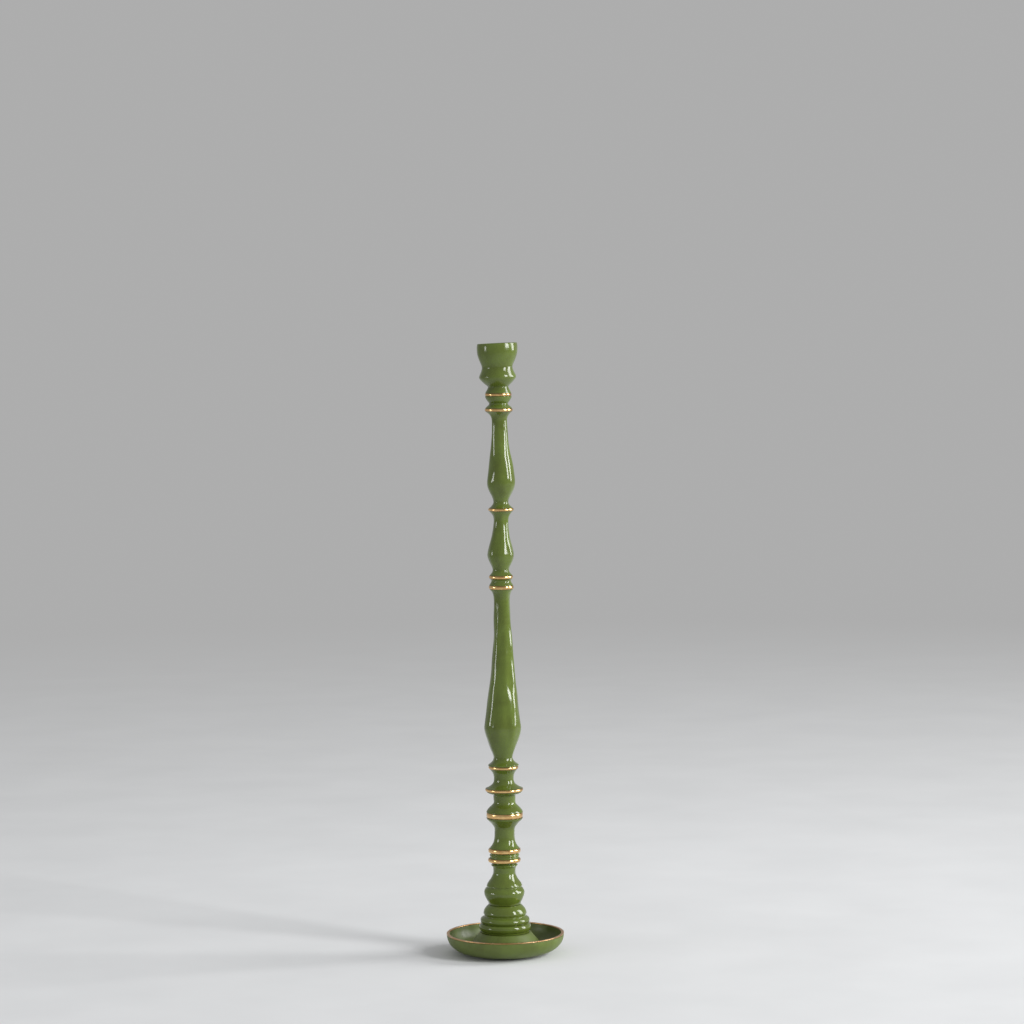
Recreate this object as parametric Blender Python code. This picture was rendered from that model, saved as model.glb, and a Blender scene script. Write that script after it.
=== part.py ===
"""A tall turned candlestick, 600 mm high, on a round drip dish.

Enamelled metal sections and bare brass rings are stacked on one tie rod. The
cup screws onto the rod's top end, and a nut and washer under the dish clamp the
stack. Each section has a spigot below that passes through a ring and enters the
socket in the section beneath, so everything stays in line. Lengths are in
millimetres, heights are above the table, and MM turns them into metres.
"""

import math

import bmesh
import bpy

MM = 0.001

# Driving dimensions
HEIGHT = 600.0
CUP_RIM_RADIUS = 20.0
CANDLE_SOCKET_RADIUS = 11.25
CANDLE_SOCKET_DEPTH = 18.0
CUP_BOWL_DEPTH = 12.0
DISH_RADIUS = 57.7
DISH_RIM_HEIGHT = 20.6
FELT_RADIUS = 34.0
FELT_THICKNESS = 1.2
ROD_RADIUS = 3.0

# Fits between pieces
GAP = 0.3
SPIGOT_RADIUS = 5.2
SPIGOT_ENTRY = 2.0
BORE_RADIUS = ROD_RADIUS + GAP
SOCKET_RADIUS = SPIGOT_RADIUS + GAP
SOCKET_DEPTH = SPIGOT_ENTRY + GAP

# Tie rod, washer and nut
ROD_FOOT = 4.6
ROD_TOP = 564.0
NUT_ACROSS_FLATS = 10.0
NUT_THICKNESS = 5.0
WASHER_RADIUS = 12.0
WASHER_THICKNESS = 1.6
RECESS_MOUTH_RADIUS = 28.0
RECESS_ROOF_RADIUS = 20.0
RECESS_ROOF = 13.4

# Facets round each turned piece
STEM_SEGMENTS = 20
CUP_SEGMENTS = 24
DISH_SEGMENTS = 40
HEX_SIDES = 6
OUTLINE_SPACING = 6.0
LEAST_STEPS = 2

# Brass rings from the top down: height of the centre, half thickness, radius
RINGS = (
    (549.0, 1.1, 13.1),
    (534.1, 1.2, 13.7),
    (437.0, 1.1, 12.6),
    (371.0, 1.3, 11.8),
    (361.0, 1.5, 12.2),
    (184.0, 1.2, 14.7),
    (162.0, 1.2, 18.6),
    (137.0, 2.3, 17.9),
    (102.0, 1.8, 15.9),
    (92.5, 1.6, 16.0),
)
RING_CROWN = 0.5
RING_STEPS = 4
STEEL_EDGE = 0.5

# How a turned curve runs from one neck or belly to the next. The first number says
# how gently it leaves, the second how gently it arrives: 1 is straight, more is softer.
STRAIGHT = (1.0, 1.0)
OGEE = (2.2, 2.0)
ROUND_OGEE = (1.4, 2.0)
ROUND = (1.0, 2.0)
COVE = (1.0, 2.5)
DEEP_COVE = (1.0, 4.0)
BELL = (2.0, 6.0)
FLARE = (2.0, 1.0)
DEEP_FLARE = (3.2, 1.0)
SWELL = (2.0, 1.2)
FULL_SWELL = (2.0, 1.5)
SHOULDER = (1.5, 1.2)
BOWL_SIDE = (2.5, 1.5)

# The enamelled sections from the top down, each between two rings: the radius of its
# top face, its necks and bellies as (height, radius, curve from the one above), and
# the radius and curve of its bottom face.
SECTIONS = {
    "upper_collar": (13.0, ((540.5, 9.0, SWELL),), (13.3, OGEE)),
    "upper_baluster": (
        13.4,
        ((523.5, 7.5, COVE), (464.0, 14.0, FULL_SWELL), (444.0, 7.0, OGEE)),
        (12.0, FLARE),
    ),
    "middle_baluster": (
        12.0,
        ((426.0, 7.5, COVE), (393.0, 13.0, FULL_SWELL), (378.0, 8.0, OGEE)),
        (11.5, FLARE),
    ),
    "bead_collar": (11.5, ((367.0, 9.5, COVE),), (11.8, OGEE)),
    "long_baluster": (
        11.8,
        (
            (346.0, 8.3, DEEP_COVE),
            (223.0, 18.5, SWELL),
            (193.5, 9.2, SHOULDER),
            (186.5, 15.4, FLARE),
        ),
        (14.9, ROUND),
    ),
    "upper_spool": (14.0, ((173.0, 9.8, COVE),), (18.5, DEEP_FLARE)),
    "lower_spool": (
        18.0,
        ((156.5, 11.0, OGEE), (149.0, 10.6, STRAIGHT)),
        (18.0, ROUND_OGEE),
    ),
    "column": (18.0, ((119.0, 10.0, BELL),), (15.0, DEEP_FLARE)),
    "ribbed_collar": (
        15.0,
        ((98.5, 13.7, ROUND), (97.2, 14.7, ROUND), (95.7, 13.9, ROUND)),
        (15.0, STRAIGHT),
    ),
}

# The cup's outside below its lip: side, neck, bulge and neck
CUP_LIP_DROP = 5.5
CUP_LIP_EDGE = 0.6
CUP_SIDE = (
    (576.0, 15.0, BOWL_SIDE),
    (566.0, 18.4, OGEE),
    (556.5, 10.0, SHOULDER),
)
CUP_BOTTOM_FACE_RADIUS = 12.9
CUP_BOWL_MOUTH_RADIUS = 17.6
CUP_BOWL_CURVE = (1.0, 1.5)
SOCKET_LEAD_IN = 0.5
RIM_EDGE = 0.6

# The pedestal: a rib under its top ring, a neck, and two bellies with a groove between
PEDESTAL_TOP_RADIUS = 15.0
WAIST = 49.0
WAIST_RADIUS = 15.9
PEDESTAL = (
    (88.7, 11.6, ROUND),
    (87.3, 13.3, ROUND),
    (80.5, 11.0, DEEP_COVE),
    (67.5, 17.5, FULL_SWELL),
    (66.0, 17.0, ROUND),
    (61.0, 20.0, ROUND),
    (WAIST, WAIST_RADIUS, OGEE),
)

# The foot: a shoulder, then beads as (height of the middle, half height, radius)
FOOT_SHOULDER = ((40.0, 21.3, ROUND), (37.4, 20.4, ROUND))
FOOT_BEADS = ((33.2, 3.0, 24.2), (26.4, 3.6, 25.3))
BEAD_DEPTH = 2.2
BEAD_STEPS = 6

CONE_TOP = 21.2
CONE_TOP_RADIUS = 25.6
CONE_FOOT = 6.4
CONE_FOOT_RADIUS = 38.2
CONE_FILLET = 3.8
DISH_FLOOR = 4.8
DISH_FLOOR_RADIUS = 44.0
INNER_WALL_STEPS = 5
OUTER_WALL_STEPS = 7
LIP_THICKNESS = 1.2
WALL_STEP = 0.8
DISH_FOOT_RADIUS = 36.0
BAND_THICKNESS = 0.5
BAND_HEIGHT = 0.9
BAND_EDGE = 0.2

GREEN_ENAMEL = ("green_enamel", (0.125, 0.185, 0.035, 1.0), 0.0, 0.12)
POLISHED_BRASS = ("polished_brass", (0.88, 0.62, 0.28, 1.0), 1.0, 0.18)
PLATED_STEEL = ("plated_steel", (0.55, 0.56, 0.58, 1.0), 1.0, 0.35)
GREEN_FELT = ("green_felt", (0.03, 0.06, 0.025, 1.0), 0.0, 0.95)


def clear_scene():
    for old in list(bpy.data.objects):
        bpy.data.objects.remove(old, do_unlink=True)


def material(spec):
    """The named Principled material, made once."""
    name, colour, metallic, roughness = spec
    found = bpy.data.materials.get(name)
    if found:
        return found
    made = bpy.data.materials.new(name)
    made.use_nodes = True
    shader = made.node_tree.nodes["Principled BSDF"]
    shader.inputs["Base Color"].default_value = colour
    shader.inputs["Metallic"].default_value = metallic
    shader.inputs["Roughness"].default_value = roughness
    made.diffuse_color = colour
    return made


def place(name, mesh_data, finish):
    """Turns a finished bmesh into a smooth-shaded object."""
    bmesh.ops.recalc_face_normals(mesh_data, faces=mesh_data.faces)
    mesh = bpy.data.meshes.new(name)
    mesh_data.to_mesh(mesh)
    mesh_data.free()
    mesh.shade_smooth()
    mesh.set_sharp_from_angle(angle=math.radians(35.0))
    mesh.materials.append(material(finish))
    made = bpy.data.objects.new(name, mesh)
    bpy.context.scene.collection.objects.link(made)
    return made


def turned(name, outline, segments, finish, closed=True):
    """Revolves an outline of (height, radius) points about the Z axis.

    A closed outline is a ring round a bore. An open one starts and ends on the
    axis.
    """
    mesh_data = bmesh.new()
    points = [mesh_data.verts.new((r * MM, 0.0, z * MM)) for z, r in outline]
    pairs = list(zip(points, points[1:]))
    if closed:
        pairs.append((points[-1], points[0]))
    edges = [mesh_data.edges.new(pair) for pair in pairs]
    bmesh.ops.spin(
        mesh_data,
        geom=points + edges,
        axis=(0.0, 0.0, 1.0),
        cent=(0.0, 0.0, 0.0),
        steps=segments,
        angle=math.tau,
        use_merge=True,
    )
    bmesh.ops.remove_doubles(mesh_data, verts=mesh_data.verts, dist=0.01 * MM)
    return place(name, mesh_data, finish)


def curve(start, end, shape):
    """Points (height, radius) after start, as far as end, on a curve of that shape."""
    (z0, r0), (z1, r1) = start, end
    leave, arrive = shape
    count = LEAST_STEPS + round(math.hypot(z1 - z0, r1 - r0) / OUTLINE_SPACING)
    points = []
    for k in range(1, count + 1):
        t = (1.0 - math.cos(math.pi * k / count)) / 2.0
        share = 1.0 - (1.0 - t**leave) ** arrive
        points.append((z0 + t * (z1 - z0), r0 + share * (r1 - r0)))
    return points


def profile(start, stretches):
    """An outline from start through each (height, radius, shape) in turn."""
    outline = [start]
    for height, radius, shape in stretches:
        outline += curve(outline[-1], (height, radius), shape)
    return outline


def arc(centre, radii, start, end, count):
    """Points (height, radius) on an ellipse, with angles in degrees from outwards."""
    (z, r), (half_z, half_r) = centre, radii
    angles = [math.radians(start + (end - start) * k / count) for k in range(count + 1)]
    return [(z + half_z * math.sin(a), r + half_r * math.cos(a)) for a in angles]


def section_core(top, bottom, ring_thickness, socket=True):
    """The hidden inner outline of a section, from its bottom face up to its top."""
    spigot_end = bottom - GAP - ring_thickness - GAP - SPIGOT_ENTRY
    core = [
        (bottom, SPIGOT_RADIUS),
        (spigot_end, SPIGOT_RADIUS),
        (spigot_end, BORE_RADIUS),
    ]
    if socket:
        core += [
            (top - SOCKET_DEPTH, BORE_RADIUS),
            (top - SOCKET_DEPTH, SOCKET_RADIUS),
            (top, SOCKET_RADIUS),
        ]
    return core


def ring_top(index):
    return RINGS[index][0] + RINGS[index][1]


def ring_bottom(index):
    return RINGS[index][0] - RINGS[index][1]


def make_rings():
    """The brass rings, each crowned like a flattened bead."""
    for number, (height, half, radius) in enumerate(RINGS, start=1):
        outline = [(height - half, SOCKET_RADIUS)]
        outline += arc(
            (height, radius - RING_CROWN), (half, RING_CROWN), -90.0, 90.0, RING_STEPS
        )
        outline.append((height + half, SOCKET_RADIUS))
        turned(f"brass_ring_{number}", outline, STEM_SEGMENTS, POLISHED_BRASS)


def make_sections():
    """The nine enamelled sections, each between one ring and the next."""
    for index, (name, section) in enumerate(SECTIONS.items()):
        top_radius, stretches, (bottom_radius, last_shape) = section
        top = ring_bottom(index) - GAP
        bottom = ring_top(index + 1) + GAP
        outside = profile((top, top_radius), [*stretches, (bottom, bottom_radius, last_shape)])
        core = section_core(top, bottom, RINGS[index + 1][1] * 2.0)
        turned(name, outside + core, STEM_SEGMENTS, GREEN_ENAMEL)


def make_cup():
    """The candle cup: a shallow bowl leading down into a straight socket."""
    bottom = ring_top(0) + GAP
    socket_mouth = HEIGHT - CUP_BOWL_DEPTH
    socket_floor = socket_mouth - CANDLE_SOCKET_DEPTH
    bowl = profile(
        (socket_mouth, CANDLE_SOCKET_RADIUS + SOCKET_LEAD_IN),
        [(HEIGHT - RIM_EDGE, CUP_BOWL_MOUTH_RADIUS, CUP_BOWL_CURVE)],
    )
    lip = (HEIGHT, CUP_RIM_RADIUS - CUP_LIP_EDGE)
    outside = profile(
        lip,
        [
            (HEIGHT - CUP_LIP_DROP, CUP_RIM_RADIUS, DEEP_COVE),
            *CUP_SIDE,
            (bottom, CUP_BOTTOM_FACE_RADIUS, STRAIGHT),
        ],
    )
    outline = [(socket_floor, 0.0), (socket_floor, CANDLE_SOCKET_RADIUS)]
    outline.append((socket_mouth - SOCKET_LEAD_IN, CANDLE_SOCKET_RADIUS))
    outline += bowl
    outline.append((HEIGHT, CUP_BOWL_MOUTH_RADIUS + RIM_EDGE))
    outline += outside
    outline += section_core(HEIGHT, bottom, RINGS[0][1] * 2.0, socket=False)
    outline += [(ROD_TOP + GAP, BORE_RADIUS), (ROD_TOP + GAP, 0.0)]
    turned("candle_cup", outline, CUP_SEGMENTS, GREEN_ENAMEL, closed=False)


def make_pedestal():
    top = ring_bottom(len(RINGS) - 1) - GAP
    outside = profile((top, PEDESTAL_TOP_RADIUS), PEDESTAL)
    core = section_core(top, WAIST, -GAP)
    turned("pedestal", outside + core, CUP_SEGMENTS, GREEN_ENAMEL)


def make_foot():
    """The stepped foot: a shoulder, then beads that widen downwards over grooves."""
    top = WAIST - GAP
    bottom = CONE_TOP + GAP
    outside = profile((top, WAIST_RADIUS), FOOT_SHOULDER)
    for middle, half_height, radius in FOOT_BEADS:
        outside += arc(
            (middle, radius - BEAD_DEPTH), (half_height, BEAD_DEPTH), 80.0, -80.0, BEAD_STEPS
        )
    outside.append((bottom, outside[-1][1]))
    core = section_core(top, bottom, -GAP)
    turned("stepped_foot", outside + core, CUP_SEGMENTS, GREEN_ENAMEL)


def make_dish():
    """The drip dish: a round bowl with a hollow cone in its middle."""
    base = FELT_THICKNESS + GAP
    lip_top = DISH_RIM_HEIGHT - BAND_THICKNESS - GAP
    lip_outer = DISH_RADIUS - BAND_THICKNESS - GAP
    lip_inner = lip_outer - LIP_THICKNESS
    shoulder = DISH_RIM_HEIGHT - BAND_HEIGHT - GAP
    wall_height = shoulder - base
    inner_wall = arc(
        (shoulder, DISH_FLOOR_RADIUS),
        (shoulder - DISH_FLOOR, lip_inner - WALL_STEP - DISH_FLOOR_RADIUS),
        -90.0,
        0.0,
        INNER_WALL_STEPS,
    )
    outer_wall = arc(
        (shoulder, DISH_FOOT_RADIUS),
        (wall_height, DISH_RADIUS - DISH_FOOT_RADIUS),
        0.0,
        -90.0,
        OUTER_WALL_STEPS,
    )
    cone = [
        (CONE_TOP, CONE_TOP_RADIUS - RIM_EDGE),
        (CONE_TOP - RIM_EDGE, CONE_TOP_RADIUS),
        (CONE_FOOT, CONE_FOOT_RADIUS),
        (DISH_FLOOR, CONE_FOOT_RADIUS + CONE_FILLET),
    ]
    outline = [(CONE_TOP - SOCKET_DEPTH, BORE_RADIUS)]
    outline += [(CONE_TOP - SOCKET_DEPTH, SOCKET_RADIUS), (CONE_TOP, SOCKET_RADIUS)]
    outline += cone + inner_wall
    outline += [(shoulder, lip_inner), (lip_top, lip_inner), (lip_top, lip_outer)]
    outline += [(shoulder, lip_outer)]
    outline += outer_wall
    outline += [(base, RECESS_MOUTH_RADIUS), (RECESS_ROOF, RECESS_ROOF_RADIUS)]
    outline += [(RECESS_ROOF, BORE_RADIUS)]
    turned("dish", outline, DISH_SEGMENTS, GREEN_ENAMEL)

    skirt = DISH_RIM_HEIGHT - BAND_HEIGHT
    band = [
        (skirt, lip_outer + GAP),
        (skirt, DISH_RADIUS),
        (DISH_RIM_HEIGHT - BAND_EDGE, DISH_RADIUS),
        (DISH_RIM_HEIGHT, DISH_RADIUS - BAND_EDGE),
        (DISH_RIM_HEIGHT, lip_inner - GAP - BAND_THICKNESS + BAND_EDGE),
        (DISH_RIM_HEIGHT - BAND_EDGE, lip_inner - GAP - BAND_THICKNESS),
        (skirt, lip_inner - GAP - BAND_THICKNESS),
        (skirt, lip_inner - GAP),
        (lip_top + GAP, lip_inner - GAP),
        (lip_top + GAP, lip_outer + GAP),
    ]
    turned("dish_rim_band", band, DISH_SEGMENTS, POLISHED_BRASS)


def make_fasteners():
    rod = [
        (ROD_FOOT, 0.0),
        (ROD_FOOT, ROD_RADIUS - STEEL_EDGE),
        (ROD_FOOT + STEEL_EDGE, ROD_RADIUS),
        (ROD_TOP - STEEL_EDGE, ROD_RADIUS),
        (ROD_TOP, ROD_RADIUS - STEEL_EDGE),
        (ROD_TOP, 0.0),
    ]
    turned("tie_rod", rod, STEM_SEGMENTS // 2, PLATED_STEEL, closed=False)

    washer_top = RECESS_ROOF - GAP
    washer_bottom = washer_top - WASHER_THICKNESS
    washer = [
        (washer_bottom, BORE_RADIUS),
        (washer_bottom, WASHER_RADIUS),
        (washer_top, WASHER_RADIUS),
        (washer_top, BORE_RADIUS),
    ]
    turned("washer", washer, STEM_SEGMENTS, PLATED_STEEL)

    nut_top = washer_bottom - GAP
    nut_bottom = nut_top - NUT_THICKNESS
    half_flats = NUT_ACROSS_FLATS / 2.0
    outline = [
        (nut_bottom, BORE_RADIUS),
        (nut_bottom, half_flats - STEEL_EDGE),
        (nut_bottom + STEEL_EDGE, half_flats),
        (nut_top - STEEL_EDGE, half_flats),
        (nut_top, half_flats - STEEL_EDGE),
        (nut_top, BORE_RADIUS),
    ]
    nut = turned("hex_nut", outline, HEX_SIDES * 4, PLATED_STEEL)
    side = math.tau / HEX_SIDES
    for vertex in nut.data.vertices:
        x, y = vertex.co.x, vertex.co.y
        if math.hypot(x, y) > (BORE_RADIUS + GAP) * MM:
            from_middle = math.atan2(y, x) % side - side / 2.0
            vertex.co.x = x / math.cos(from_middle)
            vertex.co.y = y / math.cos(from_middle)


def make_felt():
    edge = FELT_THICKNESS / 6.0
    felt = [
        (0.0, 0.0),
        (0.0, FELT_RADIUS - edge),
        (edge, FELT_RADIUS),
        (FELT_THICKNESS, FELT_RADIUS),
        (FELT_THICKNESS, 0.0),
    ]
    turned("felt_pad", felt, DISH_SEGMENTS, GREEN_FELT, closed=False)


def main():
    clear_scene()
    make_cup()
    make_rings()
    make_sections()
    make_pedestal()
    make_foot()
    make_dish()
    make_fasteners()
    make_felt()


main()
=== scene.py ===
"""The look of the tall enamelled candlestick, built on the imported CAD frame.

Every turned piece except the washer is remade from its CAD outline: the outline
is smoothed, its corners are rounded, and it is spun with many more facets. Then
one hand-made look is laid over all of them: soft hammered flats on the enamelled
sections, slightly wavy joints, and a stem that isn't perfectly straight. The
washer and the hex nut keep their CAD shapes. Lengths are in millimetres and
become metres through MM, and heights are above the table.
"""

import math

import bpy
import numpy as np
from mathutils import Matrix, Vector, noise


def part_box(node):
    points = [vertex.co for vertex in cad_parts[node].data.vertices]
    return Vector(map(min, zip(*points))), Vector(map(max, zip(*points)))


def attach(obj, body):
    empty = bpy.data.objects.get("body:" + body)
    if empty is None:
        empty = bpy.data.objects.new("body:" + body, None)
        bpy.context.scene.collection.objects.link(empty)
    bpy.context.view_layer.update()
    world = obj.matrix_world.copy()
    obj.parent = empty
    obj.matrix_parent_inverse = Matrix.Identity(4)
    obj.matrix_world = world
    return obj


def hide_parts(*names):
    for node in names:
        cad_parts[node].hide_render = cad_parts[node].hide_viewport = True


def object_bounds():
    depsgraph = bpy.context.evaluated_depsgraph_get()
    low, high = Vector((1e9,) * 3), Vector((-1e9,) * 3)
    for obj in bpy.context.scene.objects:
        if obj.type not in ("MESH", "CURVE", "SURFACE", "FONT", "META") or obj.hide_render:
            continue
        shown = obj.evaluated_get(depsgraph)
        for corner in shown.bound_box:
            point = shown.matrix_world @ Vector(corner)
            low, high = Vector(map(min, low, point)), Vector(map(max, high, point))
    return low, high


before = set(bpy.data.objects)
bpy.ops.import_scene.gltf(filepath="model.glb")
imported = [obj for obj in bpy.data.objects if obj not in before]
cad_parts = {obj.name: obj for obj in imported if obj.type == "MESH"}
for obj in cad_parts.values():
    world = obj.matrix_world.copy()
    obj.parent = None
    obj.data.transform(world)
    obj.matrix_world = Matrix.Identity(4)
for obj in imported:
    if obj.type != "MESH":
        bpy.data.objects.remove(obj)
cad_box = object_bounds()

MM = 0.001

# How the outlines are read from the CAD, whose meshes are in metres
CAD_SLACK = 2e-6
ON_AXIS = 1e-6
SAME_HEIGHT = 0.01

# How the outlines are refined. Nothing nearer the axis than the hidden radius shows
HIDDEN_RADIUS = 6.3
ROW_SPACING = 0.9
RING_ROW_SPACING = 0.6
BAND_ROW_SPACING = 0.5
CORNER_DEGREES = 38.0
CORNER_POINTS = 5
CORNER_SHARE = 0.4
ENAMEL_CORNER = 0.45
RING_CORNER = 0.55
BAND_CORNER = 0.3
PLAIN_CORNER = 0.2
SHARP_DEGREES = 55.0
ROD_SEGMENTS = 32
FELT_SEGMENTS = 96
STEM_SEGMENTS = 112
CUP_SEGMENTS = 128
DISH_SEGMENTS = 192

# Visual joints are closed up from the CAD gap to a hairline
CAD_GAP = 0.3
HAIRLINE = 0.04
MEETS_WITHIN = 0.02

# The hand-made look
FLATS_ROUND = 7
# How the flats wander round the stem: swing in radians, length, and share of the seed
FLATS_WANDER = ((1.1, 23.0, 1.0), (0.7, 9.7, 2.0))
FADE_AT_JOINT = 4.0
JOINT_WAVE = 0.14
JOINT_WAVE_ROUND = 1.3
JOINT_WAVE_LENGTH = 5.0
CLEAR_OF_BASE = 20.0
CLEAR_OF_RIM = 10.0
RING_DENT = 0.05
RING_DENT_SIZE = 4.0
# Dents from large to small: share of a piece's dent depth, size round the stem, size
# along it, and a shift that keeps the patterns apart
DENT_LAYERS = (
    (1.0, 9.0, 24.0, 0.0),
    (0.30, 5.0, 22.0, 5.0),
    (0.04, 3.0, 9.0, 9.0),
)
# The stem wavers gently from side to side above the dish, and its top leans left
WAVER = 0.6
WAVER_LENGTH = 165.0
WAVER_START = 98.0
STRAIGHT_BELOW = 30.0
WAVER_EASE = 40.0
TOP_LEAN = -1.0
TOP_LEAN_LENGTH = 130.0
# The cup sits a little crooked on the stem, and one side of its rim is low
CUP_TILT_DEGREES = -1.5
CUP_TILT_RISE = 3.0
CUP_TILT_EASE = 4.0
RIM_DROP = 0.9
RIM_DROP_REACH = 20.0
RIM_LOW_SIDE = 0.3
LOW_SIDE_FROM = 0.6

# Where painted shade darkens the enamel in necks and grooves, where it is worn, and where a ring is
# worn
RECESS_REACHES = (0.8, 1.6, 3.0, 5.0)
DEEP_RECESS = 3.5
SILHOUETTE_STEP = 0.5
SEAM_FROM = 0.2
SEAM_WIDTH = 0.7
RING_EDGE_FROM = 0.55

HEIGHT = cad_box[1][2] / MM
RINGS = [f"brass_ring_{number}" for number in range(1, 11)]
STEM_SECTIONS = (
    "upper_collar",
    "upper_baluster",
    "middle_baluster",
    "bead_collar",
    "long_baluster",
    "upper_spool",
    "lower_spool",
    "column",
    "ribbed_collar",
)
# For each enamelled piece: depth of the flats and of the softer dents in millimetres,
# and how many times its outline is relaxed so that thick enamel rounds it
TOOLING = {
    "candle_cup": (0.03, 0.40, 3),
    "upper_collar": (0.02, 0.22, 1),
    "upper_baluster": (0.10, 0.80, 8),
    "middle_baluster": (0.10, 0.75, 6),
    "bead_collar": (0.02, 0.16, 1),
    "long_baluster": (0.10, 0.80, 12),
    "upper_spool": (0.02, 0.32, 2),
    "lower_spool": (0.03, 0.36, 2),
    "column": (0.04, 0.36, 2),
    "ribbed_collar": (0.01, 0.14, 0),
    "pedestal": (0.05, 0.42, 0),
    "stepped_foot": (0.02, 0.32, 0),
    "dish": (0.0, 0.26, 0),
}


# ---------------------------------------------------------------- outlines


def meridian(node):
    """The outline of a turned CAD node as (radius, height) points in millimetres.

    It runs anticlockwise with the axis at its left. The second value says whether
    it closes round a bore. If not, it starts and ends on the axis.
    """
    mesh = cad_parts[node].data

    def on_meridian(vertex):
        return abs(vertex.co.y) < CAD_SLACK and vertex.co.x > -CAD_SLACK

    def key(vertex):
        return (round(vertex.co.x / MM, 3), round(vertex.co.z / MM, 3))

    linked = {}
    for edge in mesh.edges:
        ends = [mesh.vertices[i] for i in edge.vertices]
        if all(on_meridian(v) for v in ends) and key(ends[0]) != key(ends[1]):
            a, b = map(key, ends)
            linked.setdefault(a, set()).add(b)
            linked.setdefault(b, set()).add(a)
    ends = sorted(p for p, others in linked.items() if len(others) == 1)
    closed = not ends
    walk = [ends[0] if ends else min(linked)]
    while onward := linked[walk[-1]] - set(walk):
        walk.append(min(onward))
    if not closed:
        walk = [(0.0, walk[0][1]), *walk, (0.0, walk[-1][1])]
        walk = [p for i, p in enumerate(walk) if i == 0 or p != walk[i - 1]]
    area = sum(a[0] * b[1] - b[0] * a[1] for a, b in zip(walk, walk[1:] + walk[:1]))
    if area < 0.0:
        walk.reverse()
    return [np.array(p) for p in walk], closed


def turning(before, here, after):
    """The angle in degrees by which an outline turns at a point."""
    a = here - before
    b = after - here
    return abs(math.degrees(math.atan2(a[0] * b[1] - a[1] * b[0], float(a @ b))))


def rounded_corner(before, here, after, radius):
    """Points on a small curve that takes a corner's place."""
    room_in = np.linalg.norm(here - before)
    room_out = np.linalg.norm(after - here)
    start = here + (before - here) * min(radius / room_in, CORNER_SHARE)
    end = here + (after - here) * min(radius / room_out, CORNER_SHARE)
    made = []
    for k in range(CORNER_POINTS):
        t = k / (CORNER_POINTS - 1)
        made.append(start * (1 - t) ** 2 + here * 2 * t * (1 - t) + end * t * t)
    return made


def curve_between(p0, p1, p2, p3, spacing):
    """Points after p1 up to p2 on a centripetal Catmull-Rom curve."""
    gaps = [max(np.linalg.norm(b - a), 1e-6) ** 0.5 for a, b in ((p0, p1), (p1, p2), (p2, p3))]
    out = (p1 - p0) / gaps[0] - (p2 - p0) / (gaps[0] + gaps[1]) + (p2 - p1) / gaps[1]
    into = (p2 - p1) / gaps[1] - (p3 - p1) / (gaps[1] + gaps[2]) + (p3 - p2) / gaps[2]
    out, into = out * gaps[1], into * gaps[1]
    count = max(1, round(np.linalg.norm(p2 - p1) / spacing))
    made = []
    for k in range(1, count + 1):
        t = k / count
        made.append(
            p1 * (2 * t**3 - 3 * t**2 + 1)
            + out * (t**3 - 2 * t**2 + t)
            + p2 * (3 * t**2 - 2 * t**3)
            + into * (t**3 - t**2)
        )
    return made


def refined(outline, closed, corner_radius, spacing=ROW_SPACING):
    """The outline with round corners and smooth stretches between them."""
    count = len(outline)

    def at(i):
        return outline[i % count] if closed else outline[min(max(i, 0), count - 1)]

    def hard(i):
        if not closed and (i <= 0 or i >= count - 1):
            return True
        return turning(at(i - 1), at(i), at(i + 1)) > CORNER_DEGREES

    made = []
    for i in range(count if closed else count - 1):
        here, after = at(i), at(i + 1)
        hidden = max(here[0], after[0]) < HIDDEN_RADIUS
        if not made:
            made.append(here)
        level = abs(after[1] - here[1]) < SAME_HEIGHT
        if hidden or (hard(i) and hard(i + 1) and level):
            made.append(after)
            continue
        before = here + (here - after) if hard(i) else at(i - 1)
        beyond = after + (after - here) if hard(i + 1) else at(i + 2)
        made += curve_between(before, here, after, beyond, spacing)
    if closed:
        made.pop()
    return soften(made, closed, corner_radius)


def relaxed(points, passes):
    """Evens out the part of an outline that shows, except at its corners."""
    made = list(points)
    for _ in range(passes):
        before = list(made)
        for i in range(1, len(made) - 1):
            a, here, b = before[i - 1], before[i], before[i + 1]
            shows = min(a[0], here[0], b[0]) > HIDDEN_RADIUS
            if shows and turning(a, here, b) < CORNER_DEGREES:
                made[i] = (a + 2.0 * here + b) / 4.0
    return made


def soften(points, closed, corner_radius):
    """Rounds each remaining corner that shows."""
    count = len(points)
    made = []
    for i, here in enumerate(points):
        if not closed and i in (0, count - 1):
            made.append(here)
            continue
        before, after = points[i - 1], points[(i + 1) % count]
        shows = here[0] > HIDDEN_RADIUS
        if shows and turning(before, here, after) > CORNER_DEGREES:
            made += rounded_corner(before, here, after, corner_radius)
        else:
            made.append(here)
    return made


# ---------------------------------------------------------------- the hand-made look

JOINT_HEIGHTS = sorted(
    height / MM for ring in RINGS for height in (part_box(ring)[0].z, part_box(ring)[1].z)
)


def lean_at(heights):
    """Sideways shift at each height: a gentle waver, and a lean near the top."""
    waver = WAVER * np.sin(math.tau * (heights - WAVER_START) / WAVER_LENGTH)
    top = TOP_LEAN * smoothstep((heights - HEIGHT + TOP_LEAN_LENGTH) / TOP_LEAN_LENGTH)
    return waver * smoothstep((heights - STRAIGHT_BELOW) / WAVER_EASE) + top


def smoothstep(t):
    t = np.clip(t, 0.0, 1.0)
    return t * t * (3.0 - 2.0 * t)


def dents(points, seed, around, along):
    """Smooth noise at each point, for dents of those sizes round and along the stem."""
    shift = Vector((seed * 7.3, seed * 3.1, seed * 11.7))
    scale = np.array((1.0 / around, 1.0 / around, 1.0 / along))
    return np.array([noise.noise(Vector(point) + shift) for point in points * scale])


def from_joint(heights):
    """How far each height is from the nearest face of a brass ring."""
    return np.min(np.abs(heights[:, None] - np.array(JOINT_HEIGHTS)[None, :]), axis=1)


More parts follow.
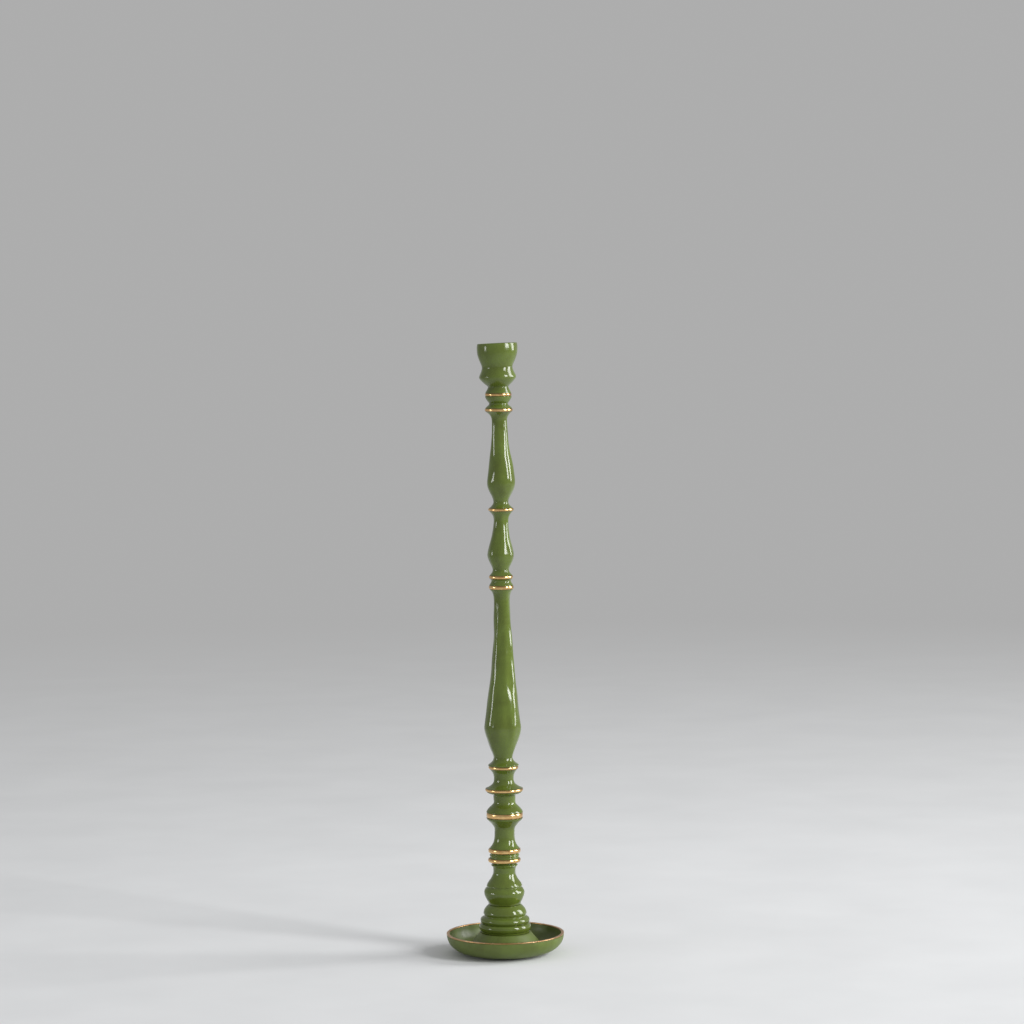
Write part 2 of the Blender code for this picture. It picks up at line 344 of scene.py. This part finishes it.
def worked(points, flats, dent, seed):
    """Flats and dents as a hand leaves them, fading out at the brass rings."""
    radius = np.hypot(points[:, 0], points[:, 1])
    angle = np.arctan2(points[:, 1], points[:, 0])
    height = points[:, 2]
    strength = smoothstep(from_joint(height) / FADE_AT_JOINT) * smoothstep(radius - HIDDEN_RADIUS)
    wander = sum(swing * np.sin(height / long + part * seed) for swing, long, part in FLATS_WANDER)
    move = flats * np.cos(FLATS_ROUND * angle + wander + seed)
    for share, around, along, apart in DENT_LAYERS:
        move += dent * share * dents(points, seed + apart, around, along)
    grown = 1.0 + strength * (move - 0.3 * dent) / np.maximum(radius, 1.0)
    made = points.copy()
    made[:, 0] *= grown
    made[:, 1] *= grown
    return made


def settled(points):
    """The stick's slight lean, joints that aren't quite level, and the crooked cup."""
    angle = np.arctan2(points[:, 1], points[:, 0])
    height = points[:, 2].copy()
    wave = np.array(
        [
            noise.noise(Vector((x, y, z)))
            for x, y, z in zip(
                np.cos(angle) * JOINT_WAVE_ROUND,
                np.sin(angle) * JOINT_WAVE_ROUND,
                height / JOINT_WAVE_LENGTH,
            )
        ]
    )
    clear_of_base = smoothstep((height - STRAIGHT_BELOW) / CLEAR_OF_BASE)
    clear_of_rim = smoothstep((HEIGHT - CLEAR_OF_RIM - height) / CLEAR_OF_RIM)
    made = points.copy()
    made[:, 0] += lean_at(height)
    made[:, 2] += JOINT_WAVE * wave * clear_of_base * clear_of_rim
    tilt_from = JOINT_HEIGHTS[-1] + CUP_TILT_RISE
    tilt = math.radians(CUP_TILT_DEGREES) * smoothstep((height - tilt_from) / CUP_TILT_EASE)
    above = np.maximum(height - tilt_from, 0.0)
    made[:, 0] += above * tilt
    made[:, 2] -= points[:, 0] * tilt
    near_rim = smoothstep((height - HEIGHT + RIM_DROP_REACH) / RIM_DROP_REACH)
    low_side = smoothstep((LOW_SIDE_FROM - np.cos(angle)) / (1.0 + LOW_SIDE_FROM))
    made[:, 2] -= near_rim * (RIM_DROP + RIM_LOW_SIDE * low_side)
    return made


def recess_depth(points):
    """From 0 on a crest or a slope to 1 deep in a neck or groove."""
    radius = np.hypot(points[:, 0], points[:, 1])
    height = points[:, 2]
    above = np.max([np.interp(height + reach, *SILHOUETTE) for reach in RECESS_REACHES], axis=0)
    below = np.max([np.interp(height - reach, *SILHOUETTE) for reach in RECESS_REACHES], axis=0)
    return np.clip((np.minimum(above, below) - radius) / DEEP_RECESS, 0.0, 1.0)


def silhouette():
    """The outer radius of the enamelled pieces at evenly spaced heights."""
    levels = np.arange(0.0, HEIGHT + SILHOUETTE_STEP, SILHOUETTE_STEP)
    widest = np.zeros_like(levels)
    for node in [*STEM_SECTIONS, "pedestal", "stepped_foot", "candle_cup"]:
        outline, _ = meridian(node)
        for a, b in zip(outline, outline[1:] + outline[:1]):
            low, high = sorted((a[1], b[1]))
            if high - low < SAME_HEIGHT:
                continue
            inside = (levels >= low) & (levels <= high)
            share = (levels[inside] - a[1]) / (b[1] - a[1])
            widest[inside] = np.maximum(widest[inside], a[0] + share * (b[0] - a[0]))
    return levels, widest


SILHOUETTE = silhouette()


# ---------------------------------------------------------------- meshes


def spun(outline, closed, segments):
    """The points, in millimetres, and faces made by turning an outline about the axis."""
    angles = np.arange(segments) * math.tau / segments
    rows = []
    for radius, height in outline:
        if radius < ON_AXIS:
            rows.append(np.array([[0.0, 0.0, height]]))
        else:
            level = np.full(segments, height)
            rows.append(np.stack([radius * np.cos(angles), radius * np.sin(angles), level], axis=1))
    starts = np.cumsum([0, *map(len, rows)]).tolist()
    faces = []
    for i in range(len(outline) if closed else len(outline) - 1):
        j = (i + 1) % len(outline)
        a, b = starts[i], starts[j]
        for k in range(segments):
            n = (k + 1) % segments
            if len(rows[i]) == 1:
                faces.append((a, b + n, b + k))
            elif len(rows[j]) == 1:
                faces.append((a + k, a + n, b))
            else:
                faces.append((a + k, a + n, b + n, b + k))
    return np.concatenate(rows), faces


def placed(name, points, faces, finish, attributes=()):
    """Makes the shown piece, which stands for the CAD node of the same name."""
    mesh = bpy.data.meshes.new(name)
    mesh.from_pydata((points * MM).tolist(), [], faces)
    mesh.shade_smooth()
    mesh.set_sharp_from_angle(angle=math.radians(SHARP_DEGREES))
    for label, values in attributes:
        made = mesh.attributes.new(label, "FLOAT", "POINT")
        made.data.foreach_set("value", values.astype(np.float32))
    mesh.materials.append(finish)
    piece = bpy.data.objects.new(f"{name}_shown", mesh)
    bpy.context.scene.collection.objects.link(piece)
    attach(piece, "root")
    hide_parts(name)


def close_joints(outline):
    """Moves the faces of a brass ring out to meet the enamel on both sides."""
    heights = [height for _, height in outline]
    low, high = min(heights), max(heights)
    reach = (CAD_GAP - HAIRLINE) / 2.0
    moved = []
    for radius, height in outline:
        if height - low < SAME_HEIGHT:
            height -= reach
        elif high - height < SAME_HEIGHT:
            height += reach
        moved.append(np.array((radius, height)))
    return moved


def meet_rings(outline):
    """Moves the outer end faces of an enamelled section out to meet its rings."""
    reach = (CAD_GAP - HAIRLINE) / 2.0
    moved = []
    for radius, height in outline:
        above = min(JOINT_HEIGHTS, key=lambda z: abs(z - (height + CAD_GAP)))
        below = min(JOINT_HEIGHTS, key=lambda z: abs(z - (height - CAD_GAP)))
        if abs(above - (height + CAD_GAP)) < MEETS_WITHIN:
            height += reach
        elif abs(below - (height - CAD_GAP)) < MEETS_WITHIN:
            height -= reach
        moved.append(np.array((radius, height)))
    return moved


def make_enamelled(node, segments, finish):
    outline, closed = meridian(node)
    flats, dent, passes = TOOLING[node]
    outline = relaxed(refined(meet_rings(outline), closed, ENAMEL_CORNER), passes)
    points, faces = spun(outline, closed, segments)
    # How deep each point lies in a neck or groove, which sets the painted shade on the enamel
    recess = recess_depth(points)
    seam = 1.0 - smoothstep((from_joint(points[:, 2]) - SEAM_FROM) / SEAM_WIDTH)
    seed = 1.0 + sum(map(ord, node)) % 17
    points = settled(worked(points, flats, dent, seed))
    placed(node, points, faces, finish, [("recess", recess), ("seam", seam)])


def make_ring(node, finish):
    outline, closed = meridian(node)
    outline = refined(close_joints(outline), closed, RING_CORNER, RING_ROW_SPACING)
    points, faces = spun(outline, closed, STEM_SEGMENTS)
    low, high = (corner.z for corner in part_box(node))
    middle = (low + high) / 2.0 / MM
    half = (high - low) / 2.0 / MM
    outward = np.abs(points[:, 2] - middle) / half
    edge = smoothstep((outward - RING_EDGE_FROM) / (1.0 - RING_EDGE_FROM))
    radius = np.hypot(points[:, 0], points[:, 1])
    hammered = RING_DENT * dents(points, middle, RING_DENT_SIZE, RING_DENT_SIZE)
    hammered *= smoothstep((radius - HIDDEN_RADIUS) / 2.0)
    points[:, :2] *= (1.0 + (hammered - 0.4 * RING_DENT) / np.maximum(radius, 1.0))[:, None]
    placed(node, settled(points), faces, finish, [("edge", edge)])


def make_rim_band(finish):
    outline, closed = meridian("dish_rim_band")
    outline = refined(outline, closed, BAND_CORNER, BAND_ROW_SPACING)
    points, faces = spun(outline, closed, DISH_SEGMENTS)
    all_edge = [("edge", np.ones(len(points)))]
    placed("dish_rim_band", settled(points), faces, finish, all_edge)


def make_plain(node, segments, finish):
    outline, closed = meridian(node)
    outline = refined(outline, closed, PLAIN_CORNER)
    points, faces = spun(outline, closed, segments)
    placed(node, settled(points), faces, finish)


# ---------------------------------------------------------------- materials


class Nodes:
    """A short way to write a node material."""

    def __init__(self, name):
        self.material = bpy.data.materials.new(name)
        self.material.use_nodes = True
        self.tree = self.material.node_tree
        self.shader = self.tree.nodes["Principled BSDF"]
        self.place = self.tree.nodes.new("ShaderNodeTexCoord").outputs["Object"]

    def link(self, source, socket):
        self.tree.links.new(source, socket)

    def feed(self, value, socket):
        if isinstance(value, bpy.types.NodeSocket):
            self.link(value, socket)
        else:
            socket.default_value = value

    def math(self, operation, a, b=0.0):
        node = self.tree.nodes.new("ShaderNodeMath")
        node.operation = operation
        self.feed(a, node.inputs[0])
        self.feed(b, node.inputs[1])
        return node.outputs[0]

    def attribute(self, name):
        node = self.tree.nodes.new("ShaderNodeAttribute")
        node.attribute_name = name
        return node.outputs["Fac"]

    def noise(self, size_mm, detail=2.0, roughness=0.5, place=None):
        """Noise whose blotches are about that size."""
        node = self.tree.nodes.new("ShaderNodeTexNoise")
        node.inputs["Scale"].default_value = 1.0 / (size_mm * MM)
        node.inputs["Detail"].default_value = detail
        node.inputs["Roughness"].default_value = roughness
        self.link(place or self.place, node.inputs["Vector"])
        return node.outputs["Fac"]

    def spread(self, value, low, high, to_low=0.0, to_high=1.0):
        """Maps a range of values onto another and clamps it."""
        node = self.tree.nodes.new("ShaderNodeMapRange")
        self.feed(value, node.inputs["Value"])
        for name, number in zip(
            ("From Min", "From Max", "To Min", "To Max"), (low, high, to_low, to_high)
        ):
            node.inputs[name].default_value = number
        return node.outputs["Result"]

    def blend(self, share, first, second):
        node = self.tree.nodes.new("ShaderNodeMix")
        node.data_type = "RGBA"
        self.feed(share, node.inputs["Factor"])
        self.feed(first, node.inputs["A"])
        self.feed(second, node.inputs["B"])
        return node.outputs["Result"]

    def turned_place(self):
        """Coordinates that are the same all round the axis, for marks left by turning."""
        split = self.tree.nodes.new("ShaderNodeSeparateXYZ")
        self.link(self.place, split.inputs[0])
        across = self.math("MULTIPLY", split.outputs["X"], split.outputs["X"])
        deep = self.math("MULTIPLY", split.outputs["Y"], split.outputs["Y"])
        radius = self.math("SQRT", self.math("ADD", across, deep))
        joined = self.tree.nodes.new("ShaderNodeCombineXYZ")
        self.link(radius, joined.inputs["X"])
        self.link(split.outputs["Z"], joined.inputs["Z"])
        return joined.outputs[0]

    def bump(self, height, depth_mm, onto=None):
        """Relief of that depth, laid over another bump if one is given."""
        node = self.tree.nodes.new("ShaderNodeBump")
        node.inputs["Strength"].default_value = 1.0
        node.inputs["Distance"].default_value = depth_mm * MM
        self.link(height, node.inputs["Height"])
        if onto is not None:
            self.link(onto, node.inputs["Normal"])
        return node.outputs["Normal"]


# Colours, as linear light
LEAF_GREEN = (0.113, 0.160, 0.024, 1.0)
OLIVE_GREEN = (0.088, 0.118, 0.016, 1.0)
# Dark green for random specks in the enamel, and for painted shade deep in necks and grooves
SPECK_AND_SHADE_GREEN = (0.042, 0.060, 0.006, 1.0)
EDGE_BROWN = (0.085, 0.060, 0.018, 1.0)
GOLD = (0.82, 0.56, 0.25, 1.0)
DEEP_GOLD = (0.64, 0.38, 0.15, 1.0)
RIM_GOLD = (0.66, 0.44, 0.24, 1.0)
RIM_COPPER = (0.48, 0.27, 0.11, 1.0)
DARK_STEEL = (0.46, 0.47, 0.49, 1.0)
LIGHT_STEEL = (0.60, 0.61, 0.63, 1.0)
DARK_FELT = (0.016, 0.034, 0.014, 1.0)
LIGHT_FELT = (0.040, 0.075, 0.032, 1.0)
FELT_TUFT = (0.05, 0.08, 0.04, 1.0)
FLOOR_SHADE = (0.74, 0.75, 0.76, 1.0)
FLOOR_PALE = (0.78, 0.79, 0.80, 1.0)


def enamel(name, gloss_low, gloss_high, peel_mm):
    """Thick green enamel: mottled, with painted shade in its necks and grooves, and a faint orange
    peel.
    """
    n = Nodes(name)
    clouds = n.spread(n.noise(17.0, detail=3.0), 0.35, 0.65)
    colour = n.blend(clouds, OLIVE_GREEN, LEAF_GREEN)
    grains = n.spread(n.noise(0.9, detail=2.0), 0.3, 0.7, 0.0, 0.16)
    colour = n.blend(grains, colour, SPECK_AND_SHADE_GREEN)
    uneven = n.spread(n.noise(5.0), 0.3, 0.7, 0.25, 0.50)
    # Painted shade: the enamel is darkened deep in necks and grooves, unevenly
    colour = n.blend(n.math("MULTIPLY", n.attribute("recess"), uneven), colour, SPECK_AND_SHADE_GREEN)
    patchy = n.spread(n.noise(2.2), 0.35, 0.6, 0.25, 0.9)
    colour = n.blend(n.math("MULTIPLY", n.attribute("seam"), patchy), colour, EDGE_BROWN)
    n.link(colour, n.shader.inputs["Base Color"])
    gloss = n.spread(n.noise(6.0, detail=4.0), 0.3, 0.7, gloss_low, gloss_high)
    n.link(gloss, n.shader.inputs["Roughness"])
    n.shader.inputs["IOR"].default_value = 1.5
    peel = n.bump(n.noise(2.6, detail=1.0), peel_mm)
    swell = n.bump(n.noise(7.0, detail=1.0), peel_mm * 4.0, onto=peel)
    marks = n.bump(n.noise(0.8, place=n.turned_place()), peel_mm * 0.4, onto=swell)
    n.link(marks, n.shader.inputs["Normal"])
    return n.material


def brass(name, bright, copper, gloss_low, gloss_high):
    """Polished brass: patchy in tone, coppery and worn at its edges, faintly turned."""
    n = Nodes(name)
    tone = n.spread(n.noise(5.0, detail=3.0), 0.35, 0.7)
    colour = n.blend(tone, bright, copper)
    patchy = n.spread(n.noise(1.8), 0.35, 0.65, 0.1, 0.6)
    colour = n.blend(n.math("MULTIPLY", n.attribute("edge"), patchy), colour, copper)
    n.link(colour, n.shader.inputs["Base Color"])
    n.shader.inputs["Metallic"].default_value = 1.0
    gloss = n.spread(n.noise(3.0, detail=4.0), 0.3, 0.7, gloss_low, gloss_high)
    n.link(gloss, n.shader.inputs["Roughness"])
    hair = n.bump(n.noise(0.25, place=n.turned_place()), 0.006)
    n.link(n.bump(n.noise(2.0, detail=1.0), 0.03, onto=hair), n.shader.inputs["Normal"])
    return n.material


def plated_steel():
    """Zinc-plated steel: mottled grey with fine turning marks."""
    n = Nodes("plated_steel_brushed")
    tone = n.spread(n.noise(2.0, detail=4.0), 0.3, 0.7)
    n.link(n.blend(tone, DARK_STEEL, LIGHT_STEEL), n.shader.inputs["Base Color"])
    n.shader.inputs["Metallic"].default_value = 1.0
    n.link(n.spread(n.noise(1.2), 0.3, 0.7, 0.25, 0.42), n.shader.inputs["Roughness"])
    n.link(n.bump(n.noise(0.3, place=n.turned_place()), 0.01), n.shader.inputs["Normal"])
    return n.material


def felt():
    """Pressed wool felt: short crossing fibres and a soft nap."""
    n = Nodes("green_felt_wool")
    fibres = n.noise(0.5, detail=6.0, roughness=0.75)
    tufts = n.noise(2.4, detail=2.0)
    colour = n.blend(n.spread(fibres, 0.35, 0.65), DARK_FELT, LIGHT_FELT)
    colour = n.blend(n.spread(tufts, 0.4, 0.7, 0.0, 0.4), colour, FELT_TUFT)
    n.link(colour, n.shader.inputs["Base Color"])
    n.shader.inputs["Roughness"].default_value = 0.95
    n.shader.inputs["Sheen Weight"].default_value = 0.35
    n.shader.inputs["Sheen Roughness"].default_value = 0.5
    n.link(n.bump(fibres, 0.12, onto=n.bump(tufts, 0.2)), n.shader.inputs["Normal"])
    return n.material


def floor_material(radius):
    """Plain pale matt floor that fades out into the background far away."""
    n = Nodes("pale_floor")
    tone = n.spread(n.noise(140.0, detail=3.0), 0.3, 0.7)
    n.link(n.blend(tone, FLOOR_SHADE, FLOOR_PALE), n.shader.inputs["Base Color"])
    n.shader.inputs["Roughness"].default_value = 1.0
    n.shader.inputs["Specular IOR Level"].default_value = 0.0
    n.link(n.bump(n.noise(1.6, detail=3.0), 0.05), n.shader.inputs["Normal"])
    far = n.tree.nodes.new("ShaderNodeVectorMath")
    far.operation = "LENGTH"
    n.link(n.place, far.inputs[0])
    fade = n.spread(far.outputs["Value"], FADE_FROM * radius, FADE_TO * radius)
    n.link(n.math("SUBTRACT", 1.0, fade), n.shader.inputs["Alpha"])
    return n.material


# ---------------------------------------------------------------- stage

# Lengths here are in metres and angles in degrees
CAMERA_DISTANCE = 3.123
CAMERA_HEIGHT = 0.627
CAMERA_LENS = 112.8
CAMERA_DOWN = 3.53
CAMERA_YAW = -0.2
CAMERA_ROLL = -0.6
FLOOR_RADIUS = 3.6
FLOOR_SEGMENTS = 96
FADE_FROM = 0.15
FADE_TO = 0.95
BACKDROP = (0.42, 0.42, 0.42, 1.0)

# Softboxes: azimuth from the camera's side, positive to its right; distance and width;
# heights of the lower and upper edge; and radiance
SOFTBOXES = {
    "key_softbox": (57.0, 4.6, 1.25, 0.80, 3.9, 16.0),
    "side_strip": (97.0, 4.6, 1.60, 0.26, 3.7, 11.0),
    "left_fill": (-73.0, 4.6, 1.25, 0.22, 1.2, 8.0),
}


def make_floor():
    mesh = bpy.data.meshes.new("studio_floor")
    angles = [k * math.tau / FLOOR_SEGMENTS for k in range(FLOOR_SEGMENTS)]
    rim = [(FLOOR_RADIUS * math.cos(a), FLOOR_RADIUS * math.sin(a), 0.0) for a in angles]
    mesh.from_pydata(rim, [], [tuple(range(FLOOR_SEGMENTS))])
    mesh.materials.append(floor_material(FLOOR_RADIUS))
    floor = bpy.data.objects.new("studio_floor", mesh)
    bpy.context.scene.collection.objects.link(floor)


def softbox(name, azimuth, distance, width, low, high, radiance):
    """An upright white area light that faces the stick."""
    data = bpy.data.lights.new(name, "AREA")
    data.shape = "RECTANGLE"
    data.size = width
    data.size_y = high - low
    data.energy = radiance * math.pi * width * (high - low)
    lamp = bpy.data.objects.new(name, data)
    a = math.radians(azimuth)
    outward = Vector((math.sin(a), -math.cos(a), 0.0))
    lamp.location = outward * distance + Vector((0.0, 0.0, (low + high) / 2.0))
    lamp.rotation_euler = (-outward).to_track_quat("-Z", "Y").to_euler()
    bpy.context.scene.collection.objects.link(lamp)


def make_world():
    """One plain grey all round, both seen and as soft light."""
    world = bpy.data.worlds.new("studio")
    world.use_nodes = True
    world.node_tree.nodes["Background"].inputs["Color"].default_value = BACKDROP
    bpy.context.scene.world = world


def make_camera():
    data = bpy.data.cameras.new("photo_camera")
    data.sensor_width = 36.0
    data.lens = CAMERA_LENS
    data.clip_end = 100.0
    camera = bpy.data.objects.new("photo_camera", data)
    place = Matrix.Translation((0.0, -CAMERA_DISTANCE, CAMERA_HEIGHT))
    yaw = Matrix.Rotation(math.radians(CAMERA_YAW), 4, "Z")
    tilt = Matrix.Rotation(math.radians(90.0 - CAMERA_DOWN), 4, "X")
    roll = Matrix.Rotation(math.radians(CAMERA_ROLL), 4, "Z")
    camera.matrix_world = place @ yaw @ tilt @ roll
    bpy.context.scene.collection.objects.link(camera)
    bpy.context.scene.camera = camera


def make_pieces():
    gloss = enamel("enamel_gloss", 0.05, 0.14, 0.004)
    cup_gloss = enamel("enamel_cup", 0.12, 0.20, 0.002)
    satin = enamel("enamel_satin", 0.38, 0.50, 0.012)
    gold = brass("brass_polished", GOLD, DEEP_GOLD, 0.12, 0.22)
    rim_gold = brass("brass_rim", RIM_GOLD, RIM_COPPER, 0.25, 0.4)
    steel = plated_steel()
    for node in STEM_SECTIONS:
        make_enamelled(node, STEM_SEGMENTS, gloss)
    make_enamelled("candle_cup", CUP_SEGMENTS, cup_gloss)
    make_enamelled("pedestal", CUP_SEGMENTS, gloss)
    make_enamelled("stepped_foot", CUP_SEGMENTS, gloss)
    make_enamelled("dish", DISH_SEGMENTS, satin)
    for node in RINGS:
        make_ring(node, gold)
    make_rim_band(rim_gold)
    make_plain("tie_rod", ROD_SEGMENTS, steel)
    make_plain("felt_pad", FELT_SEGMENTS, felt())
    for node in ("washer", "hex_nut"):
        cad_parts[node].data.materials.clear()
        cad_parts[node].data.materials.append(steel)


make_pieces()
make_floor()
for name, setting in SOFTBOXES.items():
    softbox(name, *setting)
make_world()
make_camera()
bpy.context.scene.view_settings.view_transform = "Standard"
